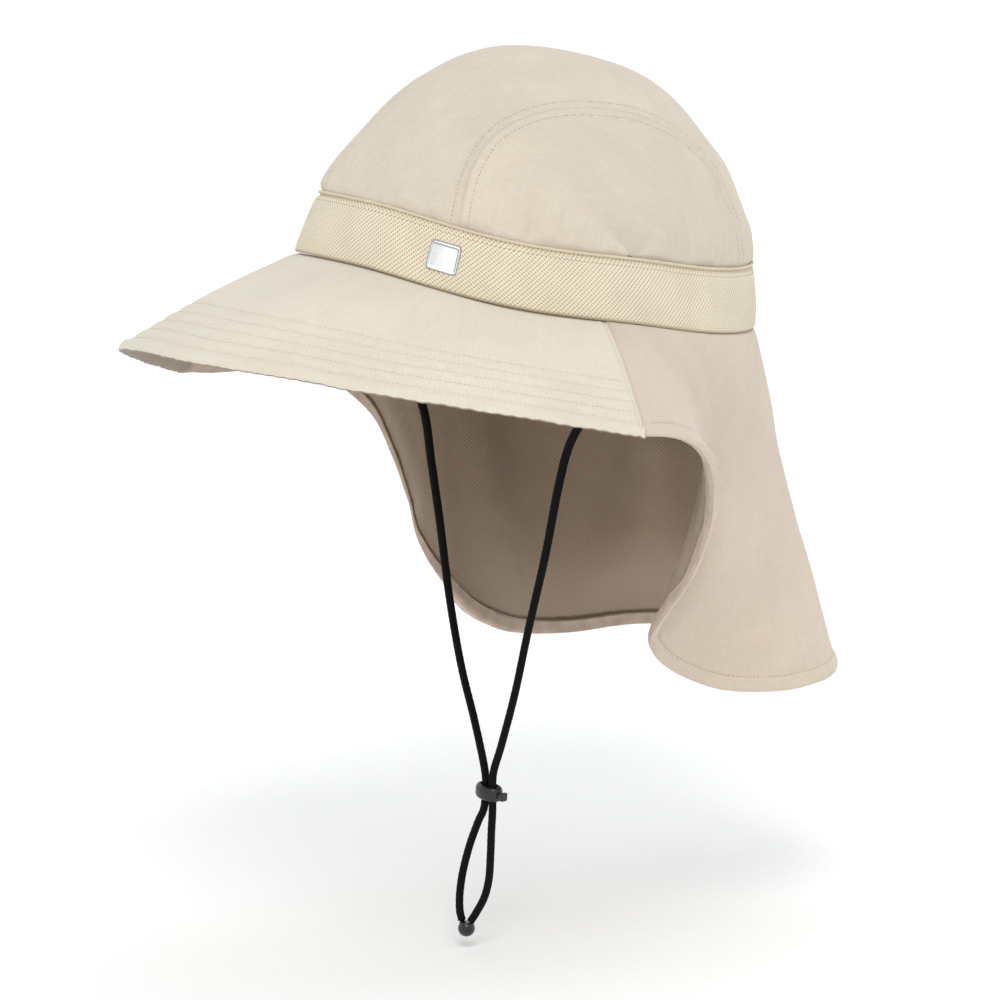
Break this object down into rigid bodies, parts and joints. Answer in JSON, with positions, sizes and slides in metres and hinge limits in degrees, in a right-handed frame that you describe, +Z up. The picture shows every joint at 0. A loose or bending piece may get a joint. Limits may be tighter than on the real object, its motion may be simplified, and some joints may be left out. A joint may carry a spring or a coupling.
{
  "type": "sun hat with neck cape",
  "caption": "Worn-form cloth sun hat: paneled crown on a knit band, stiff visor brim, long neck cape and an adjustable chin cord.",
  "frame": {"origin": "centre of the head opening, level with the band's lower edge at the ears", "axes": "+Z up as worn, -Y the way the wearer looks, +X the wearer's left"},
  "size_m": [0.2747, 0.3217, 0.3696],
  "materials": {
    "crown_cloth": "light tan woven nylon, soft matt",
    "band_knit": "tan mesh knit, matt",
    "piping_cloth": "tan rolled piping, matt",
    "brim_cloth": "light tan woven nylon over a stiffener, with stitch rows",
    "cape_cloth": "light tan knit cloth, matt",
    "plate_metal": "plain satin silver plate",
    "cord_elastic": "black braided elastic cord",
    "lock_plastic": "black moulded plastic, slightly glossy"
  },
  "bodies": {
    "root": {"crown_center_panel": "crown_cloth", "crown_side_panel_left": "crown_cloth", "crown_side_panel_right": "crown_cloth", "hat_band": "band_knit", "band_piping": "piping_cloth", "brim": "brim_cloth", "neck_cape": "cape_cloth", "band_plate": "plate_metal", "chin_cord_left": "cord_elastic", "chin_cord_right": "cord_elastic", "cord_lock": "lock_plastic", "cord_lock_button": "lock_plastic", "cord_end_bead": "lock_plastic"}
  },
  "joints": []
}
